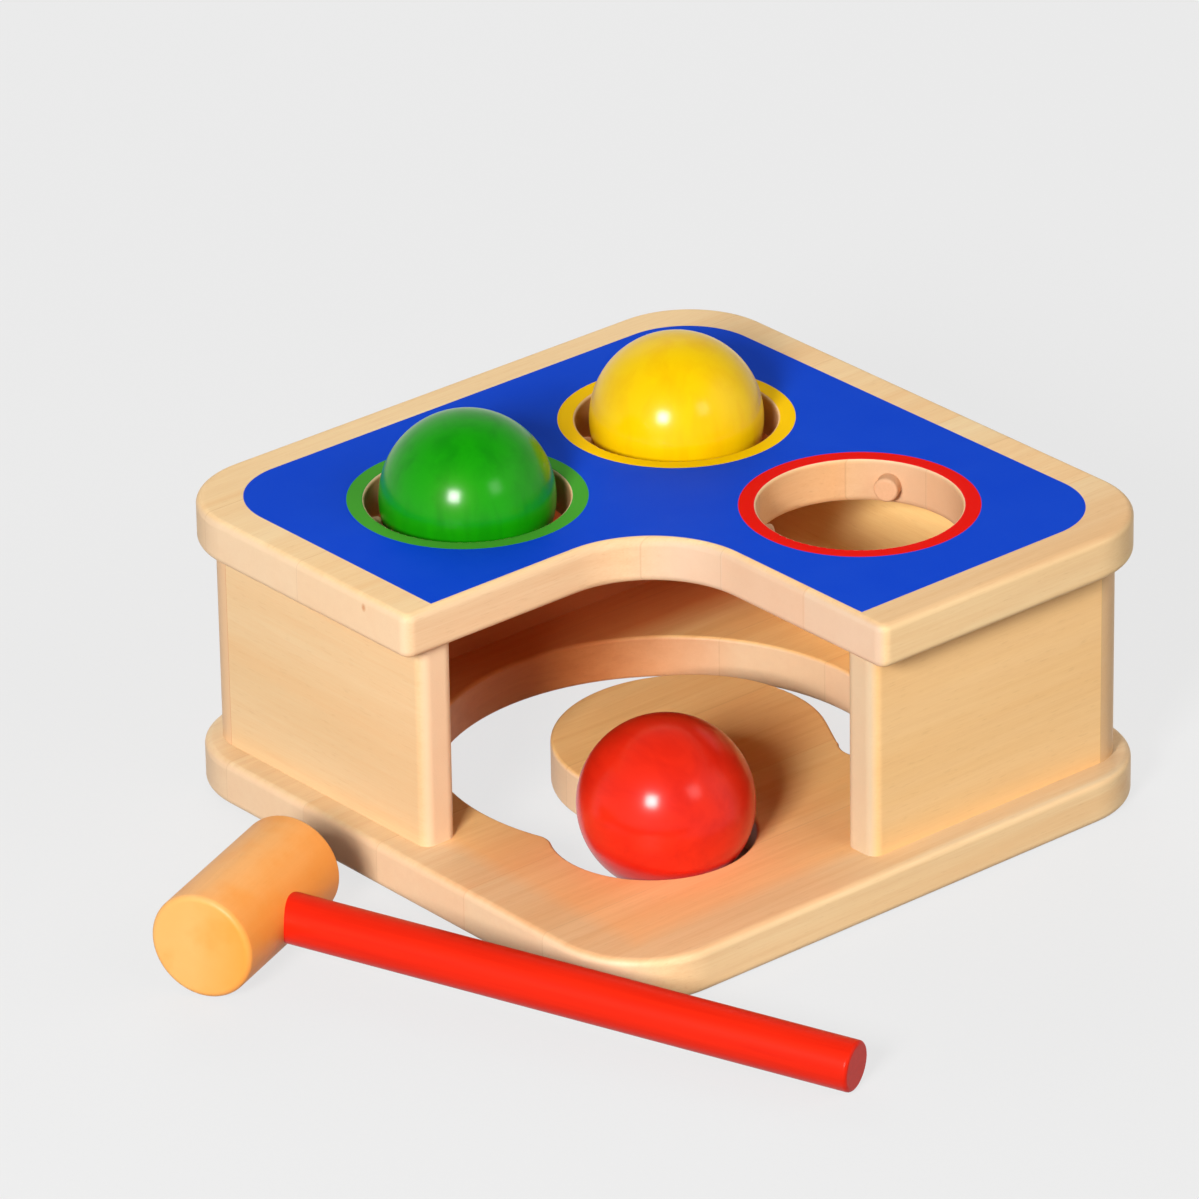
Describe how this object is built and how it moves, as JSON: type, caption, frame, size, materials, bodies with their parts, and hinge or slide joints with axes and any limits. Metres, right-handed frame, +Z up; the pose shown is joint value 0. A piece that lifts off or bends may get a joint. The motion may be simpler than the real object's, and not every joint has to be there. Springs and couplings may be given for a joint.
{
  "type": "ball pounding bench",
  "caption": "Square wooden pounding bench open at one corner: balls are hammered through soft-pegged holes and roll out; the other face is a tapering ball run with a drop hole.",
  "frame": {"origin": "middle of the lower board's underside, on the tongue of the ball run", "axes": "+Z up through both boards; the open corner points to +X and -Y, and the walls run along X and Y"},
  "size_m": [0.2454, 0.2554, 0.1025],
  "materials": {
    "blue_face": "satin print on clear-lacquered beech",
    "beech": "clear satin lacquer",
    "green_lacquer": "gloss lacquer",
    "yellow_lacquer": "gloss lacquer",
    "red_lacquer": "gloss lacquer",
    "peg_rubber": "matt",
    "dowel_wood": "raw",
    "head_wood": "clear satin lacquer",
    "handle_red": "gloss lacquer"
  },
  "bodies": {
    "bench": {"top_board": "blue_face", "bottom_board": "beech", "wall_front_left": "beech", "wall_front_right": "beech", "wall_back_left": "beech", "wall_back_right": "beech", "green_peg_1": "peg_rubber", "green_peg_2": "peg_rubber", "green_peg_3": "peg_rubber", "yellow_peg_1": "peg_rubber", "yellow_peg_2": "peg_rubber", "yellow_peg_3": "peg_rubber", "red_peg_1": "peg_rubber", "red_peg_2": "peg_rubber", "red_peg_3": "peg_rubber", "dowels_front_left": "dowel_wood", "dowels_front_right": "dowel_wood", "dowels_back_left": "dowel_wood", "dowels_back_right": "dowel_wood"},
    "green_ball": {"green_ball": "green_lacquer"},
    "yellow_ball": {"yellow_ball": "yellow_lacquer"},
    "red_ball": {"red_ball": "red_lacquer"},
    "hammer": {"hammer_head": "head_wood", "hammer_handle": "handle_red"}
  },
  "joints": [
    {"name": "green_ball_slide", "type": "slide", "parent": "bench", "child": "green_ball", "axis": [0, 0, 1], "range_m": [-0.048, 0.06], "deforming": ["green_peg_1", "green_peg_2", "green_peg_3"]},
    {"name": "yellow_ball_slide", "type": "slide", "parent": "bench", "child": "yellow_ball", "axis": [0, 0, 1], "range_m": [-0.048, 0.06], "deforming": ["yellow_peg_1", "yellow_peg_2", "yellow_peg_3"]},
    {"name": "red_ball_lift", "type": "slide", "parent": "bench", "child": "red_ball", "axis": [0, 0, 1], "range_m": [0, 0.11]},
    {"name": "hammer_lift", "type": "slide", "parent": "bench", "child": "hammer", "axis": [0, 0, 1], "range_m": [0, 0.15]}
  ]
}
